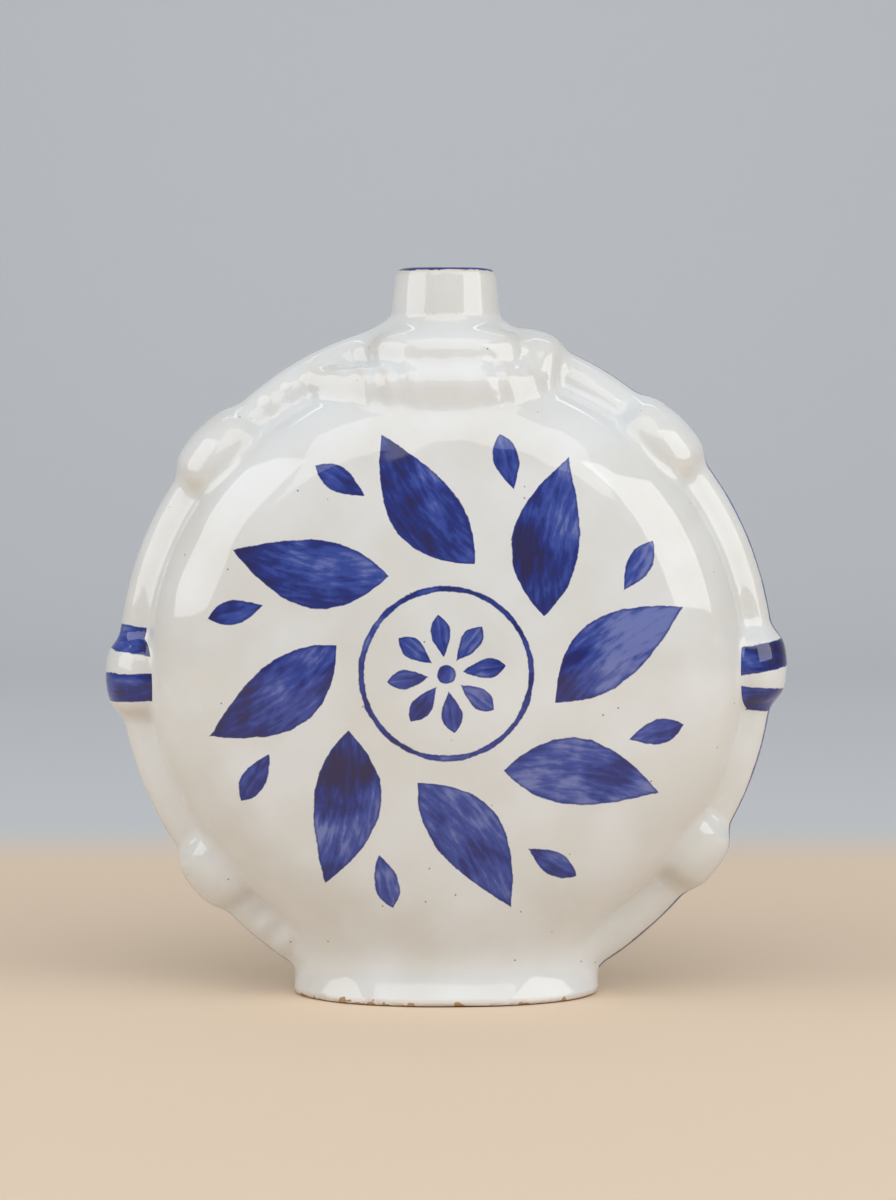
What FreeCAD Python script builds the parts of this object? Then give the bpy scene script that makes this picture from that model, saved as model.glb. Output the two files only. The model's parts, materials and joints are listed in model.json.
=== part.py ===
import FreeCAD, Part
import math
import os
from FreeCAD import Placement, Rotation, Vector

# Glazed earthenware pilgrim flask: a flat round hollow body on an oval foot, with a short neck.
# Two pressed half shells meet rim to rim. A rolled clay strap covers their joint, runs through
# barrel beads, and ends in a folded knot under the neck, on the front and on the rear.
# Millimetres. +Z is up, the front faces -Y, and the origin is under the foot's centre.

# Driving dimensions: body
BODY_LIFT = 12.0            # from the ground to the lowest point of the shells
RIM_RADIUS = 125.0          # outside of the shells, on their joint
BODY_DEPTH = 104.0          # front face to rear face
FACE_CROWN = 9.5            # how far each flat domed face stands out from the round edge
SHELL_WALL = 6.5

# Driving dimensions: neck
SHOULDER_HEIGHT = 19.0      # from the top of the shells to the neck's base
NECK_LENGTH = 19.0
NECK_BORE_RADIUS = 13.0
NECK_BASE_RADIUS = 22.4
LIP_RADIUS = 20.2
LIP_ROUND = 2.0
SKIRT_DROP = 11.5           # from the neck's base to the skirt's edge
SKIRT_HALF_WIDTH = 36.0
SKIRT_HALF_DEPTH = 26.0
SKIRT_WAIST = 0.4           # share of the flare that is reached at half of its drop
THROAT_STEP = 1.5           # how much wider the hole under the neck is than the bore

# Driving dimensions: foot
FOOT_WIDTH = 127.0
FOOT_DEPTH = 78.0
FOOT_WAIST_WIDTH = 125.0
FOOT_WAIST_DEPTH = 61.0
FOOT_WAIST_HEIGHT = 27.0
FOOT_FLARE = 0.25           # share of the flare that is left at half of the waist's height
FOOT_WALL = 8.0
FOOT_EDGE_ROUND = 1.5

# Driving dimensions: strap
STRAP_RADIUS = 12.5
STRAP_STAND = 11.0          # how far the strap's crest stands outside the rim
STRAP_SLACK = 0.8           # how far a run flattens between two beads
STRAP_FOOT_LAP = 18.0       # how far a heel run reaches in past the foot's side
SHOULDER_RISE = 6.0         # how far the left shoulder run lifts to the neck
HEEL_RISE = 6.0             # how far a heel run stands off the body at the foot

# Driving dimensions: beads on the strap, with turns round the body's centre in degrees
BEAD_SWELL = 5.0            # crown above the strap
BEAD_STEP = 1.5             # end above the strap
BEAD_EDGE_ROUND = 2.5
BEAD_LENGTHS = {"upper": 38.0, "middle": 32.0, "lower": 32.0}
SHOULDER_TURNS = {"left": 39, "right": 28}      # from the strap's upper end down to the upper bead
HEEL_TURNS = {"left": 28, "right": 33}          # from the strap's lower end up to the lower bead
MIDDLE_TURNS = {"left": 3, "right": 5}          # from halfway between those two down to the middle bead

# Driving dimensions: keeper loop of the knot, on the right shoulder
KEEPER_LENGTH = 25.0
KEEPER_SWELL = 3.0          # crown above the strap
KEEPER_LAP = 2.0            # how far the keeper's middle lies inside the skirt's edge
KEEPER_RISE = 3.0           # how far the right shoulder run lifts to the keeper

# Driving dimensions: folds of the knot, each a spindle across the front
FOLD_SECTIONS = 9
FOLD_TIP = 0.12             # end section, as a share of the fold's radius
LOWER_FOLD = {
    "past_keeper": 8.0,     # how far its right end reaches past the keeper's middle
    "half_length": 50.0,
    "radius": 9.5,
    "lift": -10.0,          # from the top of the shells to the fold's axis
    "stand": 11.0,          # how far the fold's front stands out from the skirt
    "bow": 14.0,            # how far it curves back half its length away from the neck's axis
    "sag": 1.0,             # how far the middle hangs below the ends
}
UPPER_FOLD = {
    "past_keeper": -3.0,
    "half_length": 33.0,
    "radius": 7.0,
    "lift": 4.5,
    "stand": 3.0,
    "bow": 7.0,
    "sag": 0.5,
}

# Derived places
EDGE_RADIUS = BODY_DEPTH / 2 - FACE_CROWN
BODY_CENTRE_HEIGHT = BODY_LIFT + RIM_RADIUS
BODY_TOP = BODY_CENTRE_HEIGHT + RIM_RADIUS
NECK_BASE_HEIGHT = BODY_TOP + SHOULDER_HEIGHT
TOTAL_HEIGHT = NECK_BASE_HEIGHT + NECK_LENGTH
SKIRT_EDGE_HEIGHT = NECK_BASE_HEIGHT - SKIRT_DROP
STRAP_PATH_RADIUS = RIM_RADIUS + STRAP_STAND - STRAP_RADIUS
KEEPER_PATH_RADIUS = STRAP_PATH_RADIUS + KEEPER_RISE
KEEPER_OFFSET = SKIRT_HALF_WIDTH - KEEPER_LAP
NECK_WALL_MIDDLE = (NECK_BORE_RADIUS + NECK_BASE_RADIUS) / 2
THROAT_RADIUS = NECK_BORE_RADIUS + THROAT_STEP

# Derived angles, in degrees from +X towards +Z: the keeper's middle, and the strap's ends in neck and foot
KEEPER_ANGLE = math.degrees(math.acos(KEEPER_OFFSET / KEEPER_PATH_RADIUS))
NECK_END_ANGLE = 90 + math.degrees(math.asin(NECK_WALL_MIDDLE / (STRAP_PATH_RADIUS + SHOULDER_RISE)))
FOOT_END_ANGLE = math.degrees(
    math.acos((FOOT_WAIST_WIDTH / 2 - STRAP_FOOT_LAP) / (STRAP_PATH_RADIUS + HEEL_RISE)))
SHOULDER_ENDS = {"left": (NECK_END_ANGLE, SHOULDER_RISE), "right": (KEEPER_ANGLE, KEEPER_RISE)}
HEEL_ENDS = {"left": 180 + FOOT_END_ANGLE, "right": -FOOT_END_ANGLE}
DOWNWARD = {"left": 1, "right": -1}     # which way the angles turn going down each side

BODY_CENTRE = Vector(0, 0, BODY_CENTRE_HEIGHT)
AXIS_X = Vector(1, 0, 0)
AXIS_Y = Vector(0, 1, 0)
AXIS_Z = Vector(0, 0, 1)
FULL_TURN = 360


def face_of(*curves):
    """A flat face inside the closed outline that the curves make, in their order."""
    return Part.Face(Part.Wire([curve.toShape() for curve in curves]))


def line(start, end):
    """A straight stretch of an outline."""
    return Part.LineSegment(start, end)


def cut_to(shape, *seats):
    """The shape's one piece that stays outside the seats, with its faces fitted to them."""
    for seat in seats:
        shape = shape.cut(seat)
    return max(shape.Solids, key=lambda solid: solid.Volume)


def at_rim(angle, radius):
    """The point on the seam plane at that angle and distance from the body's centre."""
    turn = math.radians(angle)
    return BODY_CENTRE + Vector(radius * math.cos(turn), 0, radius * math.sin(turn))


def body_section(inset):
    """The body's outline from pole to pole, drawn in by the inset: a flat arc, a round edge, a flat arc."""
    half_depth = BODY_DEPTH / 2 - inset
    edge_centre = RIM_RADIUS - EDGE_RADIUS
    face_radius = EDGE_RADIUS - inset + (edge_centre ** 2 + FACE_CROWN ** 2) / (2 * FACE_CROWN)
    lean = math.atan2(edge_centre, face_radius - half_depth)

    def point(side, turn):
        """A point of a face's arc, at that turn from its pole; side is -1 in front and 1 behind."""
        sink = face_radius * (1 - math.cos(turn))
        return BODY_CENTRE + Vector(0, side * (half_depth - sink), -face_radius * math.sin(turn))

    front = Part.Arc(*[point(-1, turn) for turn in (0, lean / 2, lean)])
    rear = Part.Arc(*[point(1, turn) for turn in (lean, lean / 2, 0)])
    edge = Part.Arc(front.EndPoint, BODY_CENTRE - AXIS_Z * (RIM_RADIUS - inset), rear.StartPoint)
    return front, edge, rear


def mirror_to_rear(shape):
    """The shape's twin on the other side of the seam plane."""
    return shape.mirror(BODY_CENTRE, AXIS_Y)


def revolved_body(inset):
    """The body as a solid, drawn in by the inset on all sides."""
    front, edge, rear = body_section(inset)
    half = face_of(front, edge, rear, line(rear.EndPoint, front.StartPoint))
    return half.revolve(BODY_CENTRE, AXIS_Y, FULL_TURN)


def front_shell(envelope):
    """A pressed dish of even wall, with half of the throat cut from its rim."""
    throat = Part.makeCylinder(THROAT_RADIUS, TOTAL_HEIGHT, BODY_CENTRE, AXIS_Z)
    reach = 2 * TOTAL_HEIGHT
    rear_space = Part.makeBox(reach, reach, reach, Vector(-reach / 2, 0, -reach / 2))
    return cut_to(envelope, revolved_body(SHELL_WALL), rear_space, throat)


def oval(height, half_width, half_depth):
    """A level oval wire that starts on its +X side."""
    return Part.Wire([Part.Ellipse(AXIS_Z * height, half_width, half_depth).toShape()])


def neck_block():
    """A bored collar with a round lip, on a flared skirt that reaches down into the body."""
    base, top = NECK_BASE_HEIGHT, TOTAL_HEIGHT
    slope = LIP_ROUND * math.sqrt(0.5)
    lip_centre = Vector(LIP_RADIUS - LIP_ROUND, 0, top - LIP_ROUND)
    bore_centre = Vector(NECK_BORE_RADIUS + LIP_ROUND, 0, top - LIP_ROUND)
    outer_round = Part.Arc(lip_centre + Vector(LIP_ROUND, 0, 0), lip_centre + Vector(slope, 0, slope),
                           lip_centre + Vector(0, 0, LIP_ROUND))
    bore_round = Part.Arc(bore_centre + Vector(0, 0, LIP_ROUND), bore_centre + Vector(-slope, 0, slope),
                          bore_centre + Vector(-LIP_ROUND, 0, 0))
    bore_foot = Vector(NECK_BORE_RADIUS, 0, base)
    wall_foot = Vector(NECK_BASE_RADIUS, 0, base)
    section = face_of(
        line(bore_foot, wall_foot),
        line(wall_foot, outer_round.StartPoint),
        outer_round,
        line(outer_round.EndPoint, bore_round.StartPoint),
        bore_round,
        line(bore_round.EndPoint, bore_foot),
    )
    collar = section.revolve(Vector(), AXIS_Z, FULL_TURN)
    waist_width = NECK_BASE_RADIUS + (SKIRT_HALF_WIDTH - NECK_BASE_RADIUS) * SKIRT_WAIST
    waist_depth = NECK_BASE_RADIUS + (SKIRT_HALF_DEPTH - NECK_BASE_RADIUS) * SKIRT_WAIST
    edge = oval(SKIRT_EDGE_HEIGHT, SKIRT_HALF_WIDTH, SKIRT_HALF_DEPTH)
    flare = Part.makeLoft([
        edge,
        oval((SKIRT_EDGE_HEIGHT + base) / 2, waist_width, waist_depth),
        oval(base, NECK_BASE_RADIUS, NECK_BASE_RADIUS),
    ], True)
    saddle = Part.Face(edge).extrude(AXIS_Z * (BODY_CENTRE_HEIGHT - SKIRT_EDGE_HEIGHT))
    bore = Part.makeCylinder(NECK_BORE_RADIUS, TOTAL_HEIGHT)
    throat = Part.makeCylinder(THROAT_RADIUS, SKIRT_EDGE_HEIGHT)
    skirt = flare.fuse(saddle).cut(bore).cut(throat)
    return collar.fuse(skirt).removeSplitter()


def foot_block(inset):
    """The foot's tapering oval, from the ground up into the body, drawn in by the inset."""
    flares = {0: 1, FOOT_WAIST_HEIGHT / 2: FOOT_FLARE, FOOT_WAIST_HEIGHT: 0}
    sections = []
    for height, flare in flares.items():
        width = FOOT_WAIST_WIDTH + (FOOT_WIDTH - FOOT_WAIST_WIDTH) * flare
        depth = FOOT_WAIST_DEPTH + (FOOT_DEPTH - FOOT_WAIST_DEPTH) * flare
        sections.append(oval(height, width / 2 - inset, depth / 2 - inset))
    base = Part.makeLoft(sections, True)
    column = Part.Face(sections[-1]).extrude(AXIS_Z * (BODY_CENTRE_HEIGHT - FOOT_WAIST_HEIGHT))
    return base.fuse(column).removeSplitter().Solids[0]


def foot_ring(envelope, outside):
    """A hollow oval foot, open underneath, whose top is shaped to the body."""
    ground_edge = [edge for edge in outside.Edges if edge.BoundBox.ZMax < FOOT_EDGE_ROUND / 2]
    rounded = outside.makeFillet(FOOT_EDGE_ROUND, ground_edge)
    return cut_to(rounded, foot_block(FOOT_WALL), envelope)


def barrel(angle, length, swell, path_radius):
    """A barrel on the strap's path, with its axis along the strap and a soft edge at each end."""
    half = length / 2
    rise = swell - BEAD_STEP
    crown = STRAP_RADIUS + swell
    crown_radius = (half ** 2 + rise ** 2) / (2 * rise)
    crown_centre = Vector(crown - crown_radius, 0, 0)
    edge_reach = crown_radius - BEAD_EDGE_ROUND
    edge_height = half - BEAD_EDGE_ROUND
    edge_centre = crown_centre + Vector(math.sqrt(edge_reach ** 2 - edge_height ** 2), 0, edge_height)
    outward = (edge_centre - crown_centre).normalize()
    crown_end = edge_centre + outward * BEAD_EDGE_ROUND
    edge_middle = edge_centre + (outward + AXIS_Z).normalize() * BEAD_EDGE_ROUND
    edge_end = edge_centre + AXIS_Z * BEAD_EDGE_ROUND
    low = [Vector(spot.x, 0, -spot.z) for spot in (edge_end, edge_middle, crown_end)]
    section = face_of(
        Part.Arc(*low),
        Part.Arc(low[-1], Vector(crown, 0, 0), crown_end),
        Part.Arc(crown_end, edge_middle, edge_end),
        line(edge_end, AXIS_Z * half),
        line(AXIS_Z * half, AXIS_Z * -half),
        line(AXIS_Z * -half, low[0]),
    )
    solid = section.revolve(Vector(), AXIS_Z, FULL_TURN)
    turn = math.radians(angle)
    along = Vector(-math.sin(turn), 0, math.cos(turn))
    solid.Placement = Placement(at_rim(angle, path_radius), Rotation(AXIS_Z, along))
    return solid


def bead_angles(side):
    """The angles of one side's beads, from the neck down to the foot."""
    down = DOWNWARD[side]
    upper = SHOULDER_ENDS[side][0] + down * SHOULDER_TURNS[side]
    lower = HEEL_ENDS[side] - down * HEEL_TURNS[side]
    middle = (upper + lower) / 2 + down * MIDDLE_TURNS[side]
    return {"upper": upper, "middle": middle, "lower": lower}


def strap_roll(start_angle, end_angle, end_rise, slack):
    """A roll of clay on one arc of the seam plane, flattened between its ends by the slack."""
    start = at_rim(start_angle, STRAP_PATH_RADIUS)
    end = at_rim(end_angle, STRAP_PATH_RADIUS + end_rise)
    middle = at_rim((start_angle + end_angle) / 2, STRAP_PATH_RADIUS + end_rise / 2 - slack)
    arc = Part.Arc(start, middle, end).toShape().Curve
    arm = start - arc.Center
    last_arm = end - arc.Center
    swept = math.degrees(arm.getAngle(last_arm))
    turn_axis = arm.cross(last_arm).normalize()
    disc = face_of(Part.Circle(start, turn_axis.cross(arm), STRAP_RADIUS))
    return disc.revolve(arc.Center, turn_axis, swept)


def strap_rolls(side):
    """The four runs of one side as whole rolls, from the neck down to the foot."""
    angles = bead_angles(side)
    spans = {
        "shoulder": (angles["upper"], *SHOULDER_ENDS[side], 0),
        "upper": (angles["upper"], angles["middle"], 0, STRAP_SLACK),
        "lower": (angles["middle"], angles["lower"], 0, STRAP_SLACK),
        "heel": (angles["lower"], HEEL_ENDS[side], HEEL_RISE, 0),
    }
    return {f"{side}_strap_{name}": strap_roll(*span) for name, span in spans.items()}


def knot_fold(past_keeper, half_length, radius, lift, stand, bow, sag):
    """One roll of the knot: a spindle that hangs under the neck and bows back at its ends."""
    offset = KEEPER_OFFSET + past_keeper - half_length
    front = -(SKIRT_HALF_DEPTH + stand - radius)
    sections = []
    for i in range(FOLD_SECTIONS):
        turn = math.pi * i / (FOLD_SECTIONS - 1)
        share = -math.cos(turn)
        across = offset + half_length * share
        middle = Vector(across, front + bow * (across / half_length) ** 2, BODY_TOP + lift + sag * share ** 2)
        size = radius * max(math.sin(turn), FOLD_TIP)
        sections.append(Part.Wire([Part.Circle(middle, AXIS_X, size).toShape()]))
    return Part.makeLoft(sections, True)


def build():
    """Every piece of the flask, by its name."""
    envelope = revolved_body(0)
    shell = front_shell(envelope)
    neck_outside = neck_block()
    foot_outside = foot_block(0)
    parts = {
        "front_shell": shell,
        "rear_shell": mirror_to_rear(shell),
        "neck": cut_to(neck_outside, envelope),
        "foot_ring": foot_ring(envelope, foot_outside),
    }
    seats = [envelope, neck_outside, foot_outside]

    beads = {
        f"{side}_bead_{level}": barrel(angle, BEAD_LENGTHS[level], BEAD_SWELL, STRAP_PATH_RADIUS)
        for side in DOWNWARD
        for level, angle in bead_angles(side).items()
    }
    beads["right_keeper"] = barrel(KEEPER_ANGLE, KEEPER_LENGTH, KEEPER_SWELL, KEEPER_PATH_RADIUS)
    for name, bead in beads.items():
        parts[name] = cut_to(bead, *seats)
    seats += beads.values()

    rolls = {name: roll for side in DOWNWARD for name, roll in strap_rolls(side).items()}
    for name, roll in rolls.items():
        parts[name] = cut_to(roll, *seats)
    seats += rolls.values()

    lower = knot_fold(**LOWER_FOLD)
    upper = knot_fold(**UPPER_FOLD)
    folds = {
        "knot_lower_fold": cut_to(lower, *seats),
        "knot_upper_fold": cut_to(upper, *seats, lower),
    }
    for name, fold in folds.items():
        parts[f"front_{name}"] = fold
        parts[f"rear_{name}"] = mirror_to_rear(fold)
    return parts


def main():
    """Write each piece to a file of its own."""
    os.makedirs("parts", exist_ok=True)
    for name, solid in build().items():
        if not solid.isValid():
            raise ValueError(f"{name} is not a valid solid")
        solid.exportStep(os.path.join("parts", f"{name}.step"))
        print(f"{name}: {solid.Volume / 1000:.1f} cm3")


main()
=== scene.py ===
"""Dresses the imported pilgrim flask: one glazed skin, cut into the flask's pieces and painted in cobalt."""
import json
import logging
import math
from abc import ABC, abstractmethod
from dataclasses import dataclass
from enum import Enum
from typing import Any

import bpy
import numpy as np
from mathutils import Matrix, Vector


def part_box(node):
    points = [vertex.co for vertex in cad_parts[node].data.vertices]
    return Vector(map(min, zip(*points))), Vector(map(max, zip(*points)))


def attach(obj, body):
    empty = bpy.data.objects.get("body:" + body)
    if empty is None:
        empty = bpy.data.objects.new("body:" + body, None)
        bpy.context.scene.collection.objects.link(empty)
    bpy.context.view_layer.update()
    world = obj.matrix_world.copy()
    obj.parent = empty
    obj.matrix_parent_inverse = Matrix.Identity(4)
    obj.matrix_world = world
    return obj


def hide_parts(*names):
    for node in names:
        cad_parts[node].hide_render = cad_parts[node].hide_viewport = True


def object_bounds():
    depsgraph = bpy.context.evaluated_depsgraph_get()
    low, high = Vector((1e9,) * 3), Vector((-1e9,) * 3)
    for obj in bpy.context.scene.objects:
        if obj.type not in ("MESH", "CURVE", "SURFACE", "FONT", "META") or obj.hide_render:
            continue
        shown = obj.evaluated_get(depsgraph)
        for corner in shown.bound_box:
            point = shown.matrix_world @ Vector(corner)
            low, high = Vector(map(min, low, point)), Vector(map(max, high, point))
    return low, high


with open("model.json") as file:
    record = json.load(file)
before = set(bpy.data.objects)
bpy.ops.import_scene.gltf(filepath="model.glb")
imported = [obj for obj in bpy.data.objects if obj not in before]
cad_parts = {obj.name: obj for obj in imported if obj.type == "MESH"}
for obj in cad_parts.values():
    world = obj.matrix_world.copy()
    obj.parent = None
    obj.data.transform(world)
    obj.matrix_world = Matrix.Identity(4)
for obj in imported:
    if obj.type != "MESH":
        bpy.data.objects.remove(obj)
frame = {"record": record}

LOG = logging.getLogger("flask")
CAD_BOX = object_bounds()
MM = 0.001
AXES = 3
MEAN_NOISE = 0.5
PHOTO_HEIGHT = 1200
SENSOR_MM = 36.0
Points = np.ndarray
Values = np.ndarray
Polygon = list[int]
Triple = tuple[float, float, float]
Stretch = tuple[float, float]


class Half(Enum):
    """The half of the flask that a piece is on, with the sign of its Y."""

    FRONT = -1
    REAR = 1


class Side(Enum):
    """The side of the flask as the camera sees it."""

    LEFT = "left"
    RIGHT = "right"


class Level(Enum):
    """The place of a bead on its side of the strap."""

    UPPER = "upper"
    MIDDLE = "middle"
    LOWER = "lower"


def box_mm(node: str) -> tuple[Points, Points]:
    """Read a CAD node's box from the frame.

    Args:
        node: Name of the CAD node.

    Returns:
        Its lowest and highest corners, in millimetres.
    """
    low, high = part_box(node)
    return np.array(low) / MM, np.array(high) / MM


def linear(colour: str) -> tuple[float, float, float, float]:
    """Turn an sRGB hex colour to linear light.

    Args:
        colour: Six hex digits after a hash.

    Returns:
        Red, green, blue and full alpha.
    """
    parts = [int(colour[i:i + 2], 16) / 255 for i in (1, 3, 5)]
    return (*[p / 12.92 if p <= 0.04045 else ((p + 0.055) / 1.055) ** 2.4 for p in parts], 1.0)


def soft_union(first: Values, second: Values, reach: float) -> Values:
    """Join two distances with a rounded valley, as glaze fills the joint of two clay pieces.

    Args:
        first: Distances to one piece, in millimetres.
        second: Distances to the other piece.
        reach: How far from the joint the valley starts, in millimetres.

    Returns:
        Distances to the joined piece.
    """
    share = np.clip(0.5 + 0.5 * (second - first) / reach, 0.0, 1.0)
    return second + (first - second) * share - reach * share * (1.0 - share)


def soft_cut(first: Values, second: Values, reach: float) -> Values:
    """Keep what lies in both of two shapes, with a rounded edge.

    Args:
        first: Distances to one shape, in millimetres.
        second: Distances to the other shape.
        reach: How far from the edge the rounding starts, in millimetres.

    Returns:
        Distances to what is in both.
    """
    return -soft_union(-first, -second, reach)


def oval_distance(across: Values, along: Values, half_across: Values, half_along: Values) -> Values:
    """Measure how far points lie outside an oval.

    Args:
        across: Points' places along the oval's first half axis.
        along: Points' places along its second half axis.
        half_across: Length of the first half axis, for each point.
        half_along: Length of the second half axis, for each point.

    Returns:
        Distances in millimetres, below zero inside.
    """
    size = np.sqrt((across / half_across) ** 2 + (along / half_along) ** 2)
    slope = np.sqrt((across / half_across ** 2) ** 2 + (along / half_along ** 2) ** 2)
    least_slope = 1e-4
    return size * (size - 1.0) / np.maximum(slope, least_slope)


def set_down(name: str, data: Any, place: Triple = (0.0, 0.0, 0.0),
             aim: Triple | None = None) -> bpy.types.Object:
    """Put a mesh, a lamp or a camera into the scene.

    Args:
        name: The new object's name.
        data: What the object holds.
        place: Where it stands, in metres.
        aim: The point that it looks at, if it looks at one.

    Returns:
        The new object.
    """
    thing = bpy.data.objects.new(name, data)
    thing.location = place
    if aim:
        thing.rotation_euler = (Vector(aim) - thing.location).to_track_quat("-Z", "Y").to_euler()
    bpy.context.scene.collection.objects.link(thing)
    return thing


@dataclass(frozen=True)
class Term:
    """A value that shader nodes work out at each spot of a surface."""

    sheet: "NodeSheet"
    socket: bpy.types.NodeSocket | None

    def __add__(self, other: "Term | float") -> "Term":
        """Add another number."""
        return self.sheet.add("Math", (self, other), operation="ADD")

    def __sub__(self, other: "Term | float") -> "Term":
        """Take another number away."""
        return self.sheet.add("Math", (self, other), operation="SUBTRACT")

    def __mul__(self, other: "Term | float") -> "Term":
        """Multiply by another number."""
        return self.sheet.add("Math", (self, other), operation="MULTIPLY")


@dataclass(frozen=True)
class NodeSheet:
    """The shader nodes of one material."""

    material: bpy.types.Material

    @classmethod
    def blank(cls, name: str) -> "NodeSheet":
        """Start a material that has no nodes yet.

        Args:
            name: The material's name.

        Returns:
            Its empty sheet.
        """
        material = bpy.data.materials.new(name)
        material.use_nodes = True
        material.node_tree.nodes.clear()
        return cls(material)

    def add(self, kind: str, links: dict[Any, Any] | tuple[Any, ...] = (), out: int | str = 0,
            **settings: Any) -> Term:
        """Add a node with its settings and links.

        Args:
            kind: The node's type name, from behind the word ShaderNode.
            links: Its inputs in order, or by name or number: other nodes' values or fixed ones.
            out: The output that is wanted, by name or number.
            **settings: Properties of the node.

        Returns:
            That output.
        """
        tree = self.material.node_tree
        node = tree.nodes.new("ShaderNode" + kind)
        for name, value in settings.items():
            setattr(node, name, value)
        for name, value in links.items() if isinstance(links, dict) else enumerate(links):
            if isinstance(value, Term):
                tree.links.new(value.socket, node.inputs[name])
            else:
                node.inputs[name].default_value = value
        return Term(self, node.outputs[out] if node.outputs else None)

    def fade(self, value: Term, stretch: Stretch, first: Term | str, second: Term | str,
             most: float = 1.0) -> Term:
        """Fade one colour into another over a stretch of a value.

        Args:
            value: The value that decides.
            stretch: Where the fade starts and where it ends.
            first: The colour before it: another node's, or an sRGB hex colour.
            second: The colour after it.
            most: The second colour's share after it.

        Returns:
            The blend.
        """
        share = self.add("MapRange", (value, *stretch, 0.0, most), interpolation_type="SMOOTHSTEP")
        before, after = (tone if isinstance(tone, Term) else linear(tone) for tone in (first, second))
        return self.add("Mix", {0: share, 6: before, 7: after}, 2, data_type="RGBA")


class Painting(ABC):
    """A kind of cobalt brushwork."""

    @abstractmethod
    def lay(self, sheet: NodeSheet, place: Term) -> tuple[Term, Term]:
        """Work out where the brush went.

        Args:
            sheet: The nodes of the material.
            place: Where each spot of the flask is, in millimetres.

        Returns:
            How deep inside the painted area each spot lies in millimetres, and the pigment in the streaks.
        """


@dataclass(frozen=True, kw_only=True)
class LeafRing(Painting):
    """A ring of brushed leaves or petals on the flat face, in millimetres and degrees."""

    centre_height: float
    middle: float
    length: float
    width: float
    count: int = 8
    turn: float = 0.0
    lean: float = 0.0
    belly: float = 0.0
    curl: float = 0.0
    streak_length: float = 11.0
    streak_width: float = 2.2
    cut_off: float = 1.5

    def lay(self, sheet: NodeSheet, place: Term) -> tuple[Term, Term]:
        """Fold the face into one leaf's slice, and draw the leaf with streaks along it.

        Args:
            sheet: The nodes of the material.
            place: Where each spot of the flask is, in millimetres.

        Returns:
            The depth inside the nearest leaf, and the pigment in its streaks.
        """
        x, z = (sheet.add("SeparateXYZ", (place,), axis) for axis in "XZ")
        up = z - self.centre_height
        reach = sheet.add("Math", (x * x + up * up,), operation="SQRT")
        half = math.pi / self.count
        angle = sheet.add("Math", (up, x), operation="ARCTAN2") - math.radians(self.turn)
        angle = sheet.add("Math", (angle, half, -half), operation="WRAP")
        out = reach * sheet.add("Math", (angle,), operation="COSINE") - self.middle
        side = reach * sheet.add("Math", (angle,), operation="SINE")
        lean = math.radians(self.lean)
        along = (out * math.cos(lean) + side * math.sin(lean)) * (2 / self.length)
        along = sheet.add("Math", (along, self.cut_off), operation="MINIMUM")
        along = sheet.add("Math", (along, -self.cut_off), operation="MAXIMUM")
        full = (along * along * -1.0) + 1.0
        across = (side * math.cos(lean) - out * math.sin(lean)) - full * self.curl
        half_width = full * (along * self.belly + 1.0) * (self.width / 2)
        depth = half_width - sheet.add("Math", (across,), operation="ABSOLUTE")
        stroke = sheet.add("CombineXYZ", (along * (self.length / 2), across, angle))
        grain = (1 / self.streak_length, 1 / self.streak_width, 1.0)
        stroke = sheet.add("VectorMath", (stroke, grain), operation="MULTIPLY")
        return depth, sheet.add("TexNoise", {"Vector": stroke, "Scale": 1.0, "Detail": 3.0})


@dataclass(frozen=True, kw_only=True)
class RingLine(Painting):
    """A line brushed round the flat face on a turning wheel, or a round dot in its middle."""

    centre_height: float
    radius: float
    width: float
    patch: float = 6.0

    def lay(self, sheet: NodeSheet, place: Term) -> tuple[Term, Term]:
        """Draw the line where the spot's distance from the middle is right.

        Args:
            sheet: The nodes of the material.
            place: Where each spot of the flask is, in millimetres.

        Returns:
            The depth inside the line, and the pigment in it.
        """
        x, z = (sheet.add("SeparateXYZ", (place,), axis) for axis in "XZ")
        up = z - self.centre_height
        off = sheet.add("Math", (x * x + up * up,), operation="SQRT") - self.radius
        depth = sheet.add("Math", (off,), operation="ABSOLUTE") * -1.0 + self.width / 2
        return depth, sheet.add("TexNoise", {"Vector": place, "Scale": 1 / self.patch, "Detail": 2.0})


@dataclass(frozen=True, kw_only=True)
class Stripe(Painting):
    """A plain stripe where a slanting plane cuts the piece."""

    slant: Triple
    offset: float
    width: float
    patch: Triple = (9.0, 9.0, 2.5)

    def lay(self, sheet: NodeSheet, place: Term) -> tuple[Term, Term]:
        """Draw the stripe round its plane.

        Args:
            sheet: The nodes of the material.
            place: Where each spot of the flask is, in millimetres.

        Returns:
            The depth inside the stripe, and the pigment in its streaks.
        """
        off = sheet.add("VectorMath", (place, self.slant), "Value", operation="DOT_PRODUCT") - self.offset
        depth = sheet.add("Math", (off,), operation="ABSOLUTE") * -1.0 + self.width / 2
        grain = tuple(1 / size for size in self.patch)
        stroke = sheet.add("VectorMath", (place, grain), operation="MULTIPLY")
        return depth, sheet.add("TexNoise", {"Vector": stroke, "Scale": 1.0, "Detail": 3.0})


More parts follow.
